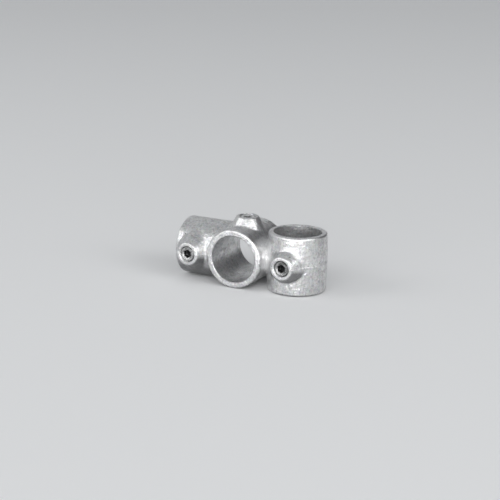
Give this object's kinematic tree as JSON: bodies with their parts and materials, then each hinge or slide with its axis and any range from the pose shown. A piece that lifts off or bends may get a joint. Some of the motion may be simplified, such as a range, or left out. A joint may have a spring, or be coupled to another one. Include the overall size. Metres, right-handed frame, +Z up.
{
  "type": "tee cross clamp",
  "caption": "Galvanised iron tube fitting: an upright collar, a crossover collar beside it at right angles and a blind tee socket in line beyond, each closed by a hex socket set screw.",
  "frame": {"origin": "centre of the upright collar's bore", "axes": "+Z up the upright bore, +Y along the crossover bore, and the tee socket opens towards -X"},
  "size_m": [0.158, 0.072, 0.0703],
  "materials": {
    "galvanised_iron": "hot dip galvanised, semi-bright with a fine cast grain",
    "zinc_steel": "bright zinc plated"
  },
  "bodies": {
    "casting": {"casting": "galvanised_iron"},
    "upright_screw": {"set_screw_upright": "zinc_steel"},
    "crossover_screw": {"set_screw_crossover": "zinc_steel"},
    "socket_screw": {"set_screw_socket": "zinc_steel"}
  },
  "joints": [
    {"name": "upright_screw_advance", "type": "slide", "parent": "casting", "child": "upright_screw", "axis": [0, 1, 0], "range_m": [-0.0067, 0.002]},
    {"name": "crossover_screw_advance", "type": "slide", "parent": "casting", "child": "crossover_screw", "axis": [0, 0, -1], "range_m": [-0.0067, 0.002]},
    {"name": "socket_screw_advance", "type": "slide", "parent": "casting", "child": "socket_screw", "axis": [0, 1, 0], "range_m": [-0.0067, 0.002]}
  ]
}
